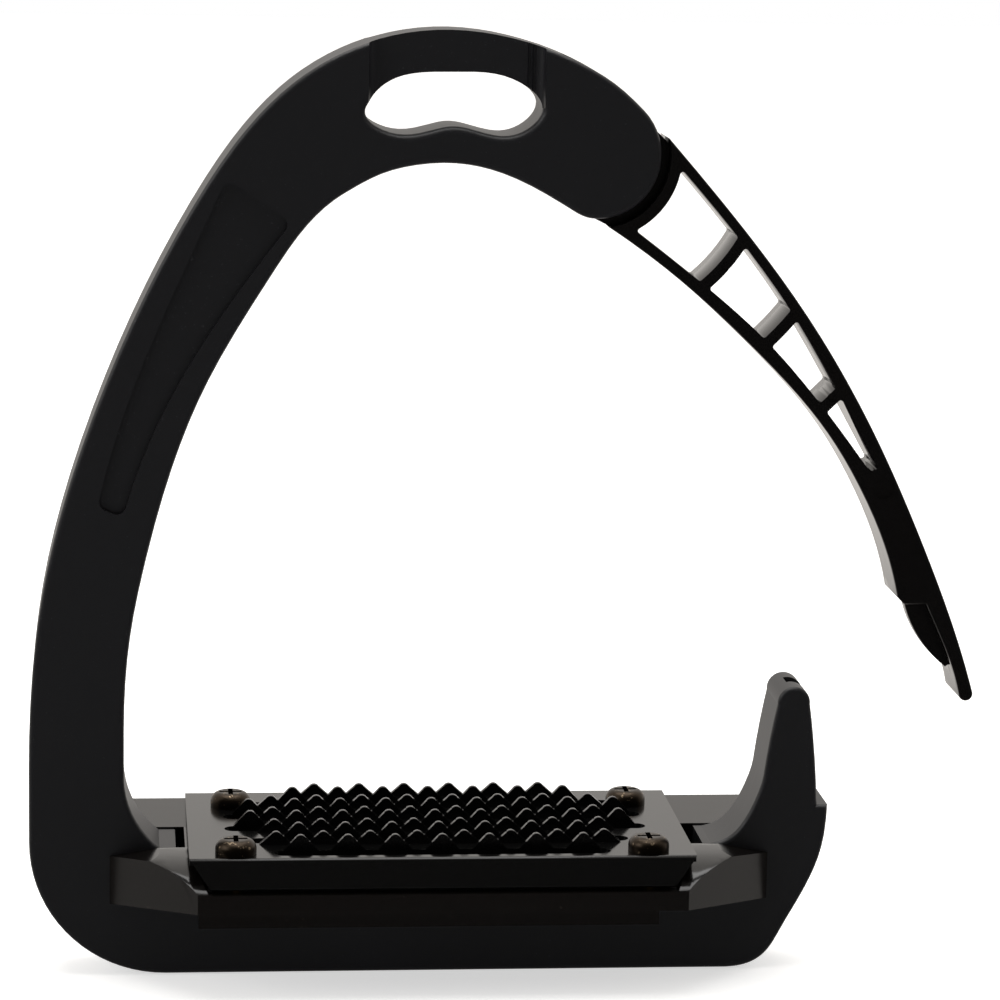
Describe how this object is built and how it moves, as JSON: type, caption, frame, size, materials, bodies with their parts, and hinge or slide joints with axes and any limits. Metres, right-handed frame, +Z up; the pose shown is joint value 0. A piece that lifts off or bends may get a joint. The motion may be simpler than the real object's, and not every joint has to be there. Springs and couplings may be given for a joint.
{
  "type": "stirrup iron",
  "caption": "Safety stirrup iron: a flat frame with a strap slot, a toothed tread on a moulded carrier, and one side that swings open on a hinge to free the foot.",
  "frame": {"origin": "on the flat foot of the frame, under the middle of the tread, in the middle of the frame's thickness", "axes": "+X across the foot towards the side that opens, +Y from the toe side to the heel side, +Z up towards the strap slot"},
  "size_m": [0.1746, 0.0496, 0.174],
  "materials": {
    "frame_coat": "fine matt black powder coat on cast aluminium",
    "arm_plastic": "glossy black glass-filled nylon, moulded",
    "pin_steel": "blackened turned steel",
    "bush_bronze": "sintered bronze",
    "washer_plastic": "black acetal",
    "ball_steel": "polished bearing steel",
    "spring_steel": "drawn spring wire",
    "carrier_plastic": "glossy black glass-filled nylon, moulded",
    "pad_rubber": "black rubber sheet",
    "tread_coat": "gloss black coat on punched steel sheet",
    "screw_oxide": "dark bronze black oxide",
    "insert_brass": "turned brass",
    "fixing_steel": "zinc-plated steel"
  },
  "bodies": {
    "frame": {"frame": "frame_coat", "hinge_pin": "pin_steel", "thrust_washer_front": "washer_plastic", "thrust_washer_rear": "washer_plastic", "tread_carrier": "carrier_plastic", "carrier_pad": "pad_rubber", "tread_plate": "tread_coat", "tread_screws": "screw_oxide", "tread_inserts": "insert_brass", "carrier_screws": "fixing_steel"},
    "arm": {"arm": "arm_plastic", "hinge_bush": "bush_bronze"},
    "catch": {"catch_ball": "ball_steel", "catch_spring": "spring_steel"}
  },
  "joints": [
    {"name": "arm_hinge", "type": "hinge", "parent": "frame", "child": "arm", "pos_m": [0.027, 0, 0.152], "axis": [0, -1, 0], "range_deg": [-13.8, 60]},
    {"name": "ball_slide", "type": "slide", "parent": "frame", "child": "catch", "axis": [-0.9983, 0, 0.0576], "range_m": [0, 0.0006], "stiffness_N_per_m": 500}
  ]
}
